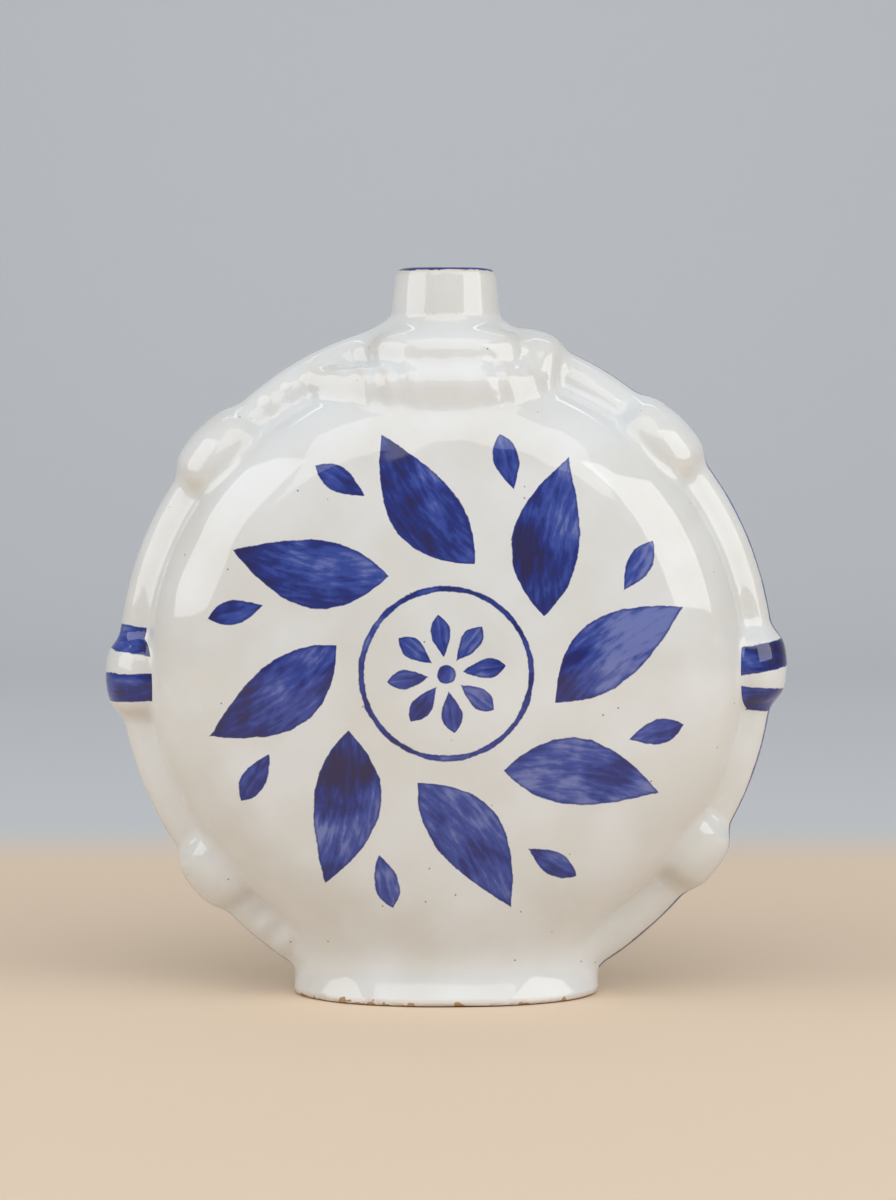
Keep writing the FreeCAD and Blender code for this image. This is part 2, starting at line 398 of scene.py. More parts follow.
@dataclass(frozen=True)
class TinGlaze:
    """Tin-glazed earthenware, dipped and fired: an opaque warm white under a wet gloss.

    The glaze runs thin on ridges, where the clay warms it, and pools whiter in valleys. Gas from the clay
    leaves dark pinholes. The surface keeps a slow orange-peel, so reflections waver. Cobalt is brushed into
    the raw glaze, so it sinks in: thin washes stay violet, heavy strokes and wet edges fire almost black.
    """

    name: str
    paintings: tuple[Painting, ...] = ()
    bare_edge: float = 0.0
    white: str = "#d9dad7"
    pooled: str = "#dfe2e3"
    thin: str = "#d2c5b6"
    speck: str = "#57493d"
    wash: str = "#6c78b6"
    cobalt: str = "#32469a"
    heavy: str = "#1d2a78"
    wet: str = "#241f52"
    biscuit: str = "#a98663"
    roughness: float = 0.05
    bare_roughness: float = 0.85
    ior: float = 1.6
    # Sizes of what the kiln and the brush leave, in millimetres.
    cloud: float = 38.0
    peel: float = 8.0
    peel_depth: float = 0.12
    pinhole_cell: float = 10.5
    pinhole: float = 0.5
    chip: float = 5.0
    wobble: float = 7.0
    tremor: float = 1.8
    blot: float = 17.0
    pool: float = 55.0
    # How strong each of them is.
    thin_share: float = 0.6
    speck_share: float = 0.8
    pinhole_sink: float = 0.6
    peel_strength: float = 0.35
    tremor_share: float = 0.4
    wander: float = 1.6
    streak_load: float = 0.5
    blot_load: float = 0.7
    pool_load: float = 0.8
    edge_share: float = 0.6
    # The stretches over which one look fades into the next.
    cloud_fade: Stretch = (0.35, 0.65)
    ridge_fade: Stretch = (0.1, 0.4)
    valley_fade: Stretch = (-0.05, -0.3)
    chip_fade: Stretch = (0.52, 0.74)
    bare_fade: Stretch = (0.7, 0.4)
    cobalt_fade: Stretch = (0.78, 0.96)
    heavy_fade: Stretch = (0.95, 1.08)
    wet_fade: Stretch = (1.06, 1.2)
    edge_fade: Stretch = (1.5, 0.4)
    soak_fade: Stretch = (-0.2, 0.35)

    def material(self) -> bpy.types.Material:
        """Find the finish, or make it the first time."""
        return bpy.data.materials.get(self.name) or self.make()

    def make(self) -> bpy.types.Material:
        """Build the nodes of the finish.

        Returns:
            The new material.
        """
        sheet = NodeSheet.blank(self.name)
        metres = sheet.add("TexCoord", out="Object")
        place = sheet.add("VectorMath", {0: metres, "Scale": 1 / MM}, operation="SCALE")
        bend = sheet.add("Attribute", out="Fac", attribute_name="ridge")
        cloud = sheet.add("TexNoise", {"Vector": place, "Scale": 1 / self.cloud, "Detail": 4.0})
        colour = sheet.fade(cloud, self.cloud_fade, self.white, self.pooled)
        colour = sheet.fade(bend, self.ridge_fade, colour, self.thin, self.thin_share)
        colour = sheet.fade(bend, self.valley_fade, colour, self.pooled)
        colour = self.paint(sheet, place, colour)
        cell = sheet.add("TexVoronoi", {"Vector": place, "Scale": 1 / self.pinhole_cell})
        brim = self.pinhole / self.pinhole_cell
        colour = sheet.fade(cell, (brim, brim / 2), colour, self.speck, self.speck_share)
        hole = sheet.add("MapRange", (cell, brim, brim / 2), interpolation_type="SMOOTHSTEP")
        peel = sheet.add("TexNoise", {"Vector": place, "Scale": 1 / self.peel, "Detail": 1.0})
        bump = sheet.add("Bump", {"Strength": self.peel_strength, "Distance": self.peel_depth * MM,
                                  "Height": peel - hole * self.pinhole_sink})
        look = {"Base Color": colour, "Roughness": self.roughness, "IOR": self.ior, "Normal": bump}
        if self.bare_edge:
            height = sheet.add("SeparateXYZ", (place,), "Z")
            chips = sheet.add("TexNoise", {"Vector": place, "Scale": 1 / self.chip, "Detail": 3.0})
            chips = sheet.add("MapRange", (chips, *self.chip_fade), interpolation_type="SMOOTHSTEP")
            left = height - chips * self.bare_edge
            look["Base Color"] = sheet.fade(left, self.bare_fade, colour, self.biscuit)
            look["Roughness"] = sheet.add(
                "MapRange", (left, *self.bare_fade, self.roughness, self.bare_roughness),
                interpolation_type="SMOOTHSTEP")
        shader = sheet.add("BsdfPrincipled", look)
        sheet.add("OutputMaterial", {"Surface": shader})
        return sheet.material

    def paint(self, sheet: NodeSheet, place: Term, ground: Term) -> Term:
        """Brush the paintings over the white.

        Args:
            sheet: The nodes of the material.
            place: Where each spot is, in millimetres.
            ground: The colour under the paint.

        Returns:
            The painted colour.
        """
        if not self.paintings:
            return ground
        depth, streak = self.paintings[0].lay(sheet, place)
        for painting in self.paintings[1:]:
            other, other_streak = painting.lay(sheet, place)
            deeper = sheet.add("Math", (other, depth), operation="GREATER_THAN")
            streak = streak + (other_streak - streak) * deeper
            depth = sheet.add("Math", (depth, other), operation="MAXIMUM")
        wobble, tremor, blot, pool = (
            sheet.add("TexNoise", {"Vector": place, "Scale": 1 / size, "Detail": detail})
            for size, detail in ((self.wobble, 2.0), (self.tremor, 2.0), (self.blot, 4.0), (self.pool, 1.0)))
        shake = wobble + tremor * self.tremor_share - MEAN_NOISE * (1 + self.tremor_share)
        depth = depth + shake * self.wander
        load = streak * self.streak_load + blot * self.blot_load + pool * self.pool_load
        colour = sheet.fade(load, self.cobalt_fade, self.wash, self.cobalt)
        colour = sheet.fade(load, self.heavy_fade, colour, self.heavy)
        colour = sheet.fade(load, self.wet_fade, colour, self.wet)
        colour = sheet.fade(depth, self.edge_fade, colour, self.heavy, self.edge_share)
        return sheet.fade(depth, self.soak_fade, ground, colour)


@dataclass(kw_only=True)
class ClayPiece(ABC):
    """A piece of clay: how far points lie from it, which CAD nodes it stands for, and how it is finished."""

    node: str
    halved: bool = False
    slot: str = "body_glaze"
    valley: float = 6.0
    skin: float = 3.0

    @abstractmethod
    def distance(self, points: Points) -> Values:
        """Measure how far points lie outside the piece.

        Args:
            points: One point a row, in millimetres.

        Returns:
            Distances in millimetres, below zero inside.
        """

    def nodes(self, points: Points) -> dict[str, Values]:
        """Say which nodes the piece stands for: a halved one has a node on each side of the seam plane.

        Args:
            points: One point a row, in millimetres.

        Returns:
            For each node, how far each point lies outside the node's half of the piece.
        """
        if not self.halved:
            return {self.node: np.zeros(len(points))}
        return {f"{half.name.lower()}_{self.node}": np.maximum(-half.value * points[:, 1], 0.0)
                for half in Half}

    def finish(self) -> TinGlaze:
        """The finish of the piece: plain glaze unless it says otherwise."""
        return TinGlaze("tin_glazed_earthenware_dipped")

    def build(self, skin: "GlazeSkin") -> list[bpy.types.Object]:
        """Cut this piece's share out of the skin, one closed mesh for each node.

        Args:
            skin: The glazed skin of the whole flask.

        Returns:
            The new objects.
        """
        return [skin.cut_out(node, self.skin) for node in self.nodes(skin.points)]

    def dress(self, pieces: list[bpy.types.Object]) -> None:
        """Give each object its finish and join it to the frame.

        Args:
            pieces: The objects, each with its node's name in front.
        """
        for piece in pieces:
            piece.data.materials.append(self.finish().material())
            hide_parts(piece.name.removesuffix(GlazeSkin.SUFFIX))
            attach(piece, "root")
            LOG.info("%s: %d faces", piece.name, len(piece.data.polygons))


@dataclass(kw_only=True)
class DiscBody(ClayPiece):
    """The pressed body: two flat domed faces that turn into each other over a round edge."""

    centre_height: float
    rim_radius: float
    half_depth: float
    face_crown: float = 9.5
    node: str = "shell"
    halved: bool = True
    skin: float = 5.0

    @classmethod
    def from_frame(cls) -> "DiscBody":
        """Take the body's sizes from the front shell's box."""
        low, high = box_mm("front_shell")
        return cls(centre_height=low[2] + high[0], rim_radius=high[0], half_depth=-low[1])

    @property
    def top(self) -> float:
        """Height of the top of the shells."""
        return self.centre_height + self.rim_radius

    def distance(self, points: Points) -> Values:
        """Measure the distance to the domed face or to the round edge, whichever a point looks at.

        Args:
            points: One point a row, in millimetres.

        Returns:
            Distances in millimetres, below zero inside.
        """
        edge_radius = self.half_depth - self.face_crown
        edge_centre = self.rim_radius - edge_radius
        face_radius = edge_radius + (edge_centre ** 2 + self.face_crown ** 2) / (2 * self.face_crown)
        sink = face_radius - self.half_depth
        out = np.hypot(points[:, 0], points[:, 2] - self.centre_height)
        depth = np.abs(points[:, 1])
        face = np.hypot(out, depth + sink) - face_radius
        edge = np.hypot(out - edge_centre, depth) - edge_radius
        return np.where(out * sink < (depth + sink) * edge_centre, face, edge)

    def finish(self) -> TinGlaze:
        """A wreath of leaves round a small rosette, on both faces.

        Returns:
            The finish.
        """
        middle = self.centre_height
        return TinGlaze("tin_glazed_earthenware_cobalt_brushed", (
            LeafRing(centre_height=middle, middle=70.0, length=64.0, width=27.0,
                     turn=6.0, lean=30.0, belly=-0.25, curl=4.0),
            LeafRing(centre_height=middle, middle=88.0, length=23.0, width=10.0,
                     turn=29.0, lean=30.0, belly=0.3),
            LeafRing(centre_height=middle, middle=15.5, length=17.0, width=8.0,
                     turn=8.0, belly=0.35, streak_width=1.6),
            RingLine(centre_height=middle, radius=34.0, width=2.4),
            RingLine(centre_height=middle, radius=0.0, width=7.5),
        ))


@dataclass
class StrapPath:
    """The strap's course round the rim, on the seam plane."""

    body: DiscBody
    radius: float = 12.5
    stand: float = 11.0

    @property
    def path_radius(self) -> float:
        """Distance of the strap's middle line from the body's centre."""
        return self.body.rim_radius + self.stand - self.radius

    def spot(self, angle: float, rise: float = 0.0) -> Points:
        """Find a point of the course.

        Args:
            angle: Degrees from +X towards +Z.
            rise: How far the point lies outside the usual course.

        Returns:
            The point's X and Z in millimetres.
        """
        turn = math.radians(angle)
        reach = self.path_radius + rise
        return np.array([reach * math.cos(turn), self.body.centre_height + reach * math.sin(turn)])


@dataclass(kw_only=True)
class StrapPiece(ClayPiece):
    """A piece of clay on the strap's course, with a line along its crest and sometimes bands across it."""

    path: StrapPath
    bands: tuple[Stripe, ...] = ()
    valley: float = 4.0
    line_slant: Triple = (0.013, 1.0, -0.012)
    line_offset: float = -1.3
    line_width: float = 4.2

    def finish(self) -> TinGlaze:
        """Glaze with a line along the crest, which wanders from the seam plane, and with any bands.

        Returns:
            The finish.
        """
        offset = self.line_offset + self.line_slant[2] * self.path.body.centre_height
        line = Stripe(slant=self.line_slant, offset=offset, width=self.line_width, patch=(6.0, 6.0, 6.0))
        kind = f"banded_{self.node.partition('_')[0]}" if self.bands else "seam_lined"
        return TinGlaze(f"tin_glazed_earthenware_{kind}", (*self.bands, line))


@dataclass(kw_only=True)
class StrapRun(StrapPiece):
    """A roll of clay along one arc of the strap's course, with faint turns of rope where it is twisted."""

    start: float
    end: float
    end_rise: float = 0.0
    slack: float = 0.0
    twist_depth: float = 0.0
    twist_pitch: float = 10.0
    slot: str = "strap_glaze"

    def __post_init__(self) -> None:
        """Find the arc through the run's two ends and its slack middle."""
        first = self.path.spot(self.start)
        last = self.path.spot(self.end, self.end_rise)
        middle = self.path.spot((self.start + self.end) / 2, self.end_rise / 2 - self.slack)
        sides = 2 * np.array([middle - first, last - first])
        squares = np.array([middle @ middle - first @ first, last @ last - first @ first])
        self.centre = np.linalg.solve(sides, squares)
        self.arc_radius = float(np.linalg.norm(first - self.centre))
        self.first_turn, last_turn = (math.atan2(*(spot - self.centre)[::-1]) for spot in (first, last))
        self.sweep = (last_turn - self.first_turn + math.pi) % (2 * math.pi) - math.pi

    def distance(self, points: Points) -> Values:
        """Measure the distance to the roll, whose ends are round.

        Args:
            points: One point a row, in millimetres.

        Returns:
            Distances in millimetres, below zero inside.
        """
        flat = points[:, ::2] - self.centre
        half_sweep = self.sweep / 2
        turn = np.arctan2(flat[:, 1], flat[:, 0]) - self.first_turn
        turn = (turn + math.pi - half_sweep) % (2 * math.pi) - math.pi + half_sweep
        kept = self.first_turn + np.clip(turn, min(0.0, self.sweep), max(0.0, self.sweep))
        spot = self.arc_radius * np.stack([np.cos(kept), np.sin(kept)], axis=1)
        off = np.hypot(np.linalg.norm(flat - spot, axis=1), points[:, 1]) - self.path.radius
        if self.twist_depth:
            along = turn * self.arc_radius / self.twist_pitch
            flank = np.clip(np.abs(points[:, 1]) / self.path.radius, 0.0, 1.0) ** 2
            off = off + self.twist_depth * flank * np.sin(math.pi * along) ** 2
        return off


@dataclass(kw_only=True)
class Bead(StrapPiece):
    """A barrel of clay round the strap, a little deeper than wide, with soft ends."""

    angle: float
    length: float
    rise: float = 0.0
    swell: float = 5.0
    step: float = 1.5
    deepen: float = 1.2
    edge_round: float = 8.0
    slot: str = "bead_glaze"

    def distance(self, points: Points) -> Values:
        """Measure the distance to the barrel's crown or to its ends.

        Args:
            points: One point a row, in millimetres.

        Returns:
            Distances in millimetres, below zero inside.
        """
        turn = math.radians(self.angle)
        off = points[:, ::2] - self.path.spot(self.angle, self.rise)
        along = off @ np.array([-math.sin(turn), math.cos(turn)])
        out = np.hypot(off @ np.array([math.cos(turn), math.sin(turn)]), points[:, 1] / self.deepen)
        half = self.length / 2
        bulge = self.swell - self.step
        crown_radius = (half ** 2 + bulge ** 2) / (2 * bulge)
        crown = np.hypot(out - (self.path.radius + self.swell - crown_radius), along) - crown_radius
        return soft_cut(crown, np.abs(along) - half, self.edge_round)


@dataclass(kw_only=True)
class KnotFold(ClayPiece):
    """One roll of the knot: a full, faintly creased roll under the neck, and its twin on the rear."""

    body: DiscBody
    skirt_half_depth: float
    right_end: float
    half_length: float
    radius: float
    lift: float
    stand: float
    bow: float
    sag: float
    taper: float = 2.2
    bluntness: float = 4.0
    crease_depth: float = 0.0
    crease_pitch: float = 10.0
    crease_slant: float = 0.3
    halved: bool = True
    slot: str = "knot_glaze"
    valley: float = 8.0
    skin: float = 2.5

    def distance(self, points: Points) -> Values:
        """Measure the distance to a bent roll that tapers to the left and is blunt on the right.

        Args:
            points: One point a row, in millimetres.

        Returns:
            Distances in millimetres, below zero inside.
        """
        across = points[:, 0] - self.right_end + self.half_length
        # Beyond these shares of its half length the roll keeps its bow, its sag and its girth.
        bow_limit, sag_limit, girth_limit = 1.3, 1.2, 0.98
        bend = np.clip(points[:, 0] / self.half_length, -bow_limit, bow_limit) ** 2
        front = self.skirt_half_depth + self.stand - self.radius - self.bow * bend
        droop = np.clip(across / self.half_length, -sag_limit, sag_limit) ** 2
        height = self.body.top + self.lift + self.sag * droop
        ring = np.hypot(np.abs(points[:, 1]) - front, points[:, 2] - height)
        share = np.clip(across / self.half_length, -girth_limit, girth_limit)
        girth = self.radius * np.sqrt(1 - np.abs(share) ** np.where(share < 0, self.taper, self.bluntness))
        turns = math.pi * (across + self.crease_slant * points[:, 2]) / self.crease_pitch
        # The second, slower wave makes the creases uneven, as fingers do.
        crease = np.sin(turns) ** 2 * (0.6 + 0.4 * np.sin(0.37 * turns + 1.0))
        roll = ring - girth + self.crease_depth * crease
        return soft_cut(roll, np.abs(across) - self.half_length, self.radius)


@dataclass(kw_only=True)
class Neck(ClayPiece):
    """The tapered collar with its bore, on a flared skirt that saddles the shoulder."""

    top: float
    bore_radius: float
    length: float = 19.0
    lip_radius: float = 20.2
    base_radius: float = 22.4
    skirt_drop: float = 11.5
    skirt_half_width: float = 36.0
    skirt_half_depth: float = 26.0
    skirt_waist: float = 0.4
    skirt_round: float = 5.0
    lip_round: float = 3.0
    lip_line: float = 2.6
    bore_depth: float = 46.0
    node: str = "neck"
    slot: str = "neck_glaze"
    skin: float = 1.2

    @classmethod
    def from_frame(cls) -> "Neck":
        """Take the lip's height from the neck's box and the bore from its mount."""
        mounts = {mount["name"]: mount for mount in frame["record"]["mounts"]}
        return cls(top=box_mm("neck")[1][2], bore_radius=mounts["neck_bore"]["dims"]["r_mm"])

    @property
    def wall_middle(self) -> float:
        """Radius halfway through the collar's wall at its base."""
        return (self.bore_radius + self.base_radius) / 2

    @property
    def floor_height(self) -> float:
        """Height at which the bore opens into the body."""
        return self.top - self.bore_depth

    def reach(self, height: Values, edge: float) -> Values:
        """Find how far the collar's wall or its skirt reaches out.

        Args:
            height: Points' heights in millimetres.
            edge: The skirt's half width or half depth.

        Returns:
            The half width or half depth at each height.
        """
        rise_limit = 1.2
        fall = (self.top - self.length - height) / self.skirt_drop
        curve = (2 - 4 * self.skirt_waist) * fall ** 2 + (4 * self.skirt_waist - 1) * fall
        flare = self.base_radius + (edge - self.base_radius) * curve
        rise = np.clip(-fall * self.skirt_drop / self.length, 0.0, rise_limit)
        wall = self.base_radius + (self.lip_radius - self.base_radius) * rise
        return np.where(fall > 0, soft_union(flare, np.full_like(flare, edge), self.skirt_round), wall)

    def distance(self, points: Points) -> Values:
        """Measure the distance to the collar and its skirt, with the bore still filled.

        Args:
            points: One point a row, in millimetres.

        Returns:
            Distances in millimetres, below zero inside.
        """
        height = points[:, 2]
        half_width = self.reach(height, self.skirt_half_width)
        half_depth = self.reach(height, self.skirt_half_depth)
        side = oval_distance(points[:, 0], points[:, 1], half_width, half_depth)
        ends = np.maximum(height - self.top, self.floor_height - height)
        return soft_cut(side, ends, self.lip_round)

    def hollow(self, points: Points) -> Values:
        """Measure the distance to the bore."""
        return np.maximum(np.hypot(points[:, 0], points[:, 1]) - self.bore_radius,
                          self.floor_height - points[:, 2])

    def mouth(self, points: Points) -> Values:
        """Tell the bore's lower end, which stays open.

        Args:
            points: One point a row, in millimetres.

        Returns:
            Values that are far below zero in it, so that no piece is nearer there.
        """
        weight = 10
        wall = np.hypot(points[:, 0], points[:, 1]) - self.bore_radius - self.lip_round / 2
        return weight * np.maximum(wall, points[:, 2] - self.floor_height - self.lip_round)

    def finish(self) -> TinGlaze:
        """Glaze with a line brushed round the lip."""
        line = Stripe(slant=(0.0, 0.0, 1.0), offset=self.top, width=self.lip_line, patch=(6.0, 6.0, 6.0))
        return TinGlaze("tin_glazed_earthenware_lip_lined", (line,))


@dataclass(kw_only=True)
class Foot(ClayPiece):
    """The hollow oval foot: it flares to the ground, and its standing edge is worn to the clay."""

    body: DiscBody
    half_width: float = 63.5
    half_depth: float = 39.0
    waist_half_width: float = 62.5
    waist_half_depth: float = 30.5
    waist_height: float = 27.0
    flare: float = 0.25
    wall: float = 8.0
    roof_round: float = 6.0
    edge_round: float = 2.5
    ground_round: float = 0.5
    bare_edge: float = 2.6
    node: str = "foot_ring"
    slot: str = "foot_glaze"
    valley: float = 16.0
    skin: float = 1.2

    def side(self, points: Points, inset: float) -> Values:
        """Measure the distance to the foot's oval side.

        Args:
            points: One point a row, in millimetres.
            inset: How far the side is drawn in.

        Returns:
            Distances in millimetres.
        """
        rise = np.clip(points[:, 2] / self.waist_height, 0.0, 1.0)
        share = 1 + (4 * self.flare - 3) * rise + (2 - 4 * self.flare) * rise ** 2
        half_width = self.waist_half_width + (self.half_width - self.waist_half_width) * share - inset
        half_depth = self.waist_half_depth + (self.half_depth - self.waist_half_depth) * share - inset
        return oval_distance(points[:, 0], points[:, 1], half_width, half_depth)

    def distance(self, points: Points) -> Values:
        """Measure the distance to the foot as if it were solid."""
        ends = np.maximum(-points[:, 2], points[:, 2] - self.body.centre_height / 2)
        return soft_cut(self.side(points, 0.0), ends, self.edge_round)

    def hollow(self, points: Points) -> Values:
        """Measure the distance to the space under the body, inside the foot."""
        under = np.maximum(points[:, 2] - self.body.centre_height, -self.body.distance(points))
        return soft_cut(self.side(points, self.wall), under, self.roof_round)

    def finish(self) -> TinGlaze:
        """Glaze that was wiped off the standing edge and has chipped there."""
        return TinGlaze("tin_glazed_earthenware_wiped_foot", bare_edge=self.bare_edge)


@dataclass
class GlazeSkin:
    """The flask's one continuous glazed surface, and the cuts that part it into the clay pieces under it."""

    SUFFIX = "_glazed"

    forms: list[ClayPiece]
    neck: Neck
    foot: Foot
    pitch: float = 1.6
    margin: float = 3.6
    waver: float = 0.22
    slow_wave: float = 88.0
    quick_wave: float = 33.0
    quick_share: float = 0.4
    rounds: int = 4
    batches: int = 24
    slope_step: float = 0.2
    bend_step: float = 1.5
    flattest: float = 0.5
    edge_gap: float = 0.02

    def __post_init__(self) -> None:
        """Make the surface, share it out, and find how it faces and bends at each point."""
        self.points, faces = self.net()
        for _ in range(self.rounds):
            self.settle()
        self.faces = self.share_out(faces)
        self.settle()
        slope = self.slope()
        self.normals = slope / np.linalg.norm(slope, axis=1, keepdims=True)
        self.ridges = self.bend()

    def unevenness(self, points: Points) -> Values:
        """Give the slow waver of a surface that was pressed and smoothed by hand.

        Args:
            points: One point a row, in millimetres.

        Returns:
            How far the surface stands out, in millimetres.
        """
        # The factors turn the waves against each other, so that they never line up.
        x, y, z = 2 * math.pi / self.slow_wave * points.T
        slow = np.sin(x + 0.7 * z + 1.3) * np.cos(0.9 * z - 1.1 * y)
        x, y, z = 2 * math.pi / self.quick_wave * points.T
        quick = np.sin(x - 0.7 * z + 0.4) * np.sin(0.8 * z + 0.6 * y + 2.0)
        return self.waver * (slow + self.quick_share * quick)

    def distance(self, points: Points) -> Values:
        """Measure the distance to the whole glazed flask.

        Args:
            points: One point a row, in millimetres.

        Returns:
            Distances in millimetres, below zero inside the clay.
        """
        total = self.forms[0].distance(points)
        for form in self.forms[1:]:
            total = soft_union(total, form.distance(points), form.valley)
        total = soft_cut(total - self.unevenness(points), -points[:, 2], self.foot.ground_round)
        total = soft_cut(total, -self.neck.hollow(points), self.neck.lip_round)
        return soft_cut(total, -self.foot.hollow(points), self.foot.edge_round)

    def slope(self) -> Points:
        """Find which way and how fast the distance grows at the skin's points.

        Returns:
            One vector a row.
        """
        corners = self.slope_step * np.array([[1, -1, -1], [-1, -1, 1], [-1, 1, -1], [1, 1, 1]])
        total = sum(np.outer(self.distance(self.points + corner), corner) for corner in corners)
        return total / (len(corners) * self.slope_step ** 2)

    def bend(self) -> Values:
        """Find how sharply the surface bends: above zero on ridges, below zero in valleys.

        Returns:
            The bend at the skin's points, one over millimetres.
        """
        steps = [sign * self.bend_step * axis for axis in np.eye(AXES) for sign in (-1, 1)]
        around = sum(self.distance(self.points + move) for move in steps)
        return (around - len(steps) * self.distance(self.points)) / self.bend_step ** 2

    def settle(self) -> None:
        """Move the skin's points straight onto the surface."""
        slope = self.slope()
        square = np.maximum((slope ** 2).sum(axis=1), self.flattest ** 2)
        self.points = self.points - slope * (self.distance(self.points) / square)[:, None]

    def net(self) -> tuple[Points, list[Polygon]]:
        """Lay a net of quads over the surface, one point in each cell that it passes through.

        Returns:
            The net's points in millimetres, and its faces.
        """
        low = np.array(CAD_BOX[0]) / MM - self.margin
        high = np.array(CAD_BOX[1]) / MM + self.margin
        count = np.ceil((high - low) / self.pitch).astype(int) + 1
        lines = [low[axis] + self.pitch * np.arange(count[axis]) for axis in range(AXES)]
        grid = np.stack(np.meshgrid(*lines, indexing="ij"), axis=-1).reshape(-1, AXES)
        parts = np.array_split(grid, self.batches)
        values = np.concatenate([self.distance(part) for part in parts]).reshape(count)
        inside = values < 0
        corners = np.array([[i, j, k] for i in (0, 1) for j in (0, 1) for k in (0, 1)])
        full = sum(inside[tuple(slice(c, n - 1 + c) for c, n in zip(corner, count))].astype(int)
                   for corner in corners)
        cells = np.argwhere((full > 0) & (full < len(corners)))
        number = np.full(full.shape, -1)
        number[tuple(cells.T)] = np.arange(len(cells))
        total = np.zeros((len(cells), AXES))
        hits = np.zeros(len(cells))
        for start in corners:
            for axis in np.flatnonzero(start == 0):
                end = start + np.eye(AXES, dtype=int)[axis]
                first = values[tuple((cells + start).T)]
                last = values[tuple((cells + end).T)]
                crossed = (first < 0) != (last < 0)
                share = np.where(crossed, first / np.where(crossed, first - last, 1.0), 0.0)
                total += crossed[:, None] * (start + share[:, None] * (end - start))
                hits += crossed
        return low + self.pitch * (cells + total / hits[:, None]), self.quads(inside, number)

    @staticmethod
    def quads(inside: Values, number: Values) -> list[Polygon]:
        """Join the cells round each grid line that crosses the surface.

        Args:
            inside: For each grid point, whether it is inside the clay.
            number: For each cell, the number of its point, or -1.

        Returns:
            Faces that look out of the clay.
        """
        faces = []
        step = np.eye(AXES, dtype=int)
        for axis in range(AXES):
            second, third = (axis + 1) % AXES, (axis + 2) % AXES
            first = np.take(inside, range(inside.shape[axis] - 1), axis=axis)
            last = np.take(inside, range(1, inside.shape[axis]), axis=axis)
            spots = np.argwhere(first != last)
            outward = first[tuple(spots.T)]
            ring = [-step[second] - step[third], -step[third], 0 * step[axis], -step[second]]
            quad = np.stack([number[tuple((spots + move).T)] for move in ring], axis=1)
            quad[~outward] = quad[~outward][:, ::-1]
            faces.extend(quad.tolist())
        return faces

    def share_out(self, faces: list[Polygon]) -> dict[str | None, list[Polygon]]:
        """Share the net out among the nodes, along the lines where two pieces of clay are equally near.

        The points of those lines are added to the skin's points. The neck keeps its bore to itself, and the
        foot shares its hollow with the body only. The open lower end of the bore goes to no node.

        Args:
            faces: The net's faces.

        Returns:
            The faces of each node.
        """
        near: dict[str | None, Values] = {None: self.neck.mouth(self.points)}
        for form in self.forms:
            distance = form.distance(self.points)
            if form is not self.neck:
                distance = distance + self.lining(self.neck)
            if form not in (self.foot, self.foot.body):
                distance = distance + self.lining(self.foot)
            near.update({node: distance + off for node, off in form.nodes(self.points).items()})
        names = list(near)
        table = np.stack(list(near.values()))
        owner = table.argmin(axis=0)
        added: list[Points] = []
        known: dict[tuple[int, int], int] = {}

        def add(point: Points) -> int:
            """Add a point to the skin and give its number."""
            added.append(point)
            return len(self.points) + len(added) - 1

        def between(first: int, last: int) -> int:
            """Find the point on an edge where the pieces at its two ends are equally near.

            Args:
                first: Number of the point at one end.
                last: Number of the point at the other end.

            Returns:
                The new point's number.
            """
            low, high = sorted((first, last))
            if (low, high) not in known:
                lead = [table[owner[low], i] - table[owner[high], i] for i in (low, high)]
                share = np.clip(lead[0] / (lead[0] - lead[1]), self.edge_gap, 1 - self.edge_gap)
                known[low, high] = add(self.points[low] * (1 - share) + self.points[high] * share)
            return known[low, high]

        shares: dict[str | None, list[Polygon]] = {name: [] for name in names}
        corners = [part for face in faces if len({owner[i] for i in face}) > 1
                   for part in (face[:3], [face[0], face[2], face[3]])]
        for face in faces:
            if len({owner[i] for i in face}) == 1:
                shares[names[owner[face[0]]]].append(face)
        for a, b, c in corners:
            owners = {owner[a], owner[b], owner[c]}
            edges = [(a, b), (b, c), (c, a)]
            if len(owners) == len(edges):
                cuts = [between(*edge) for edge in edges]
                middle = add(np.mean([added[cut - len(self.points)] for cut in cuts], axis=0))
                for i, spot in enumerate((a, b, c)):
                    shares[names[owner[spot]]].append([cuts[i - 1], spot, cuts[i], middle])
                continue
            for kept in owners:
                ring = []
                for first, last in edges:
                    ring += [first] if owner[first] == kept else []
                    ring += [between(first, last)] if owner[first] != owner[last] else []
                shares[names[kept]].append(ring)
        self.points = np.concatenate([self.points, np.array(added)])
        return shares

    def lining(self, holder: Neck | Foot) -> Values:
        """Tell the points in a piece's hollow, which other pieces have no share of.

        Args:
            holder: The piece with the hollow.

        Returns:
            Zero outside the hollow, and more than any distance on its lining.
        """
        reach, weight = 2.0, 50
        return weight * np.maximum(reach - holder.hollow(self.points), 0.0)

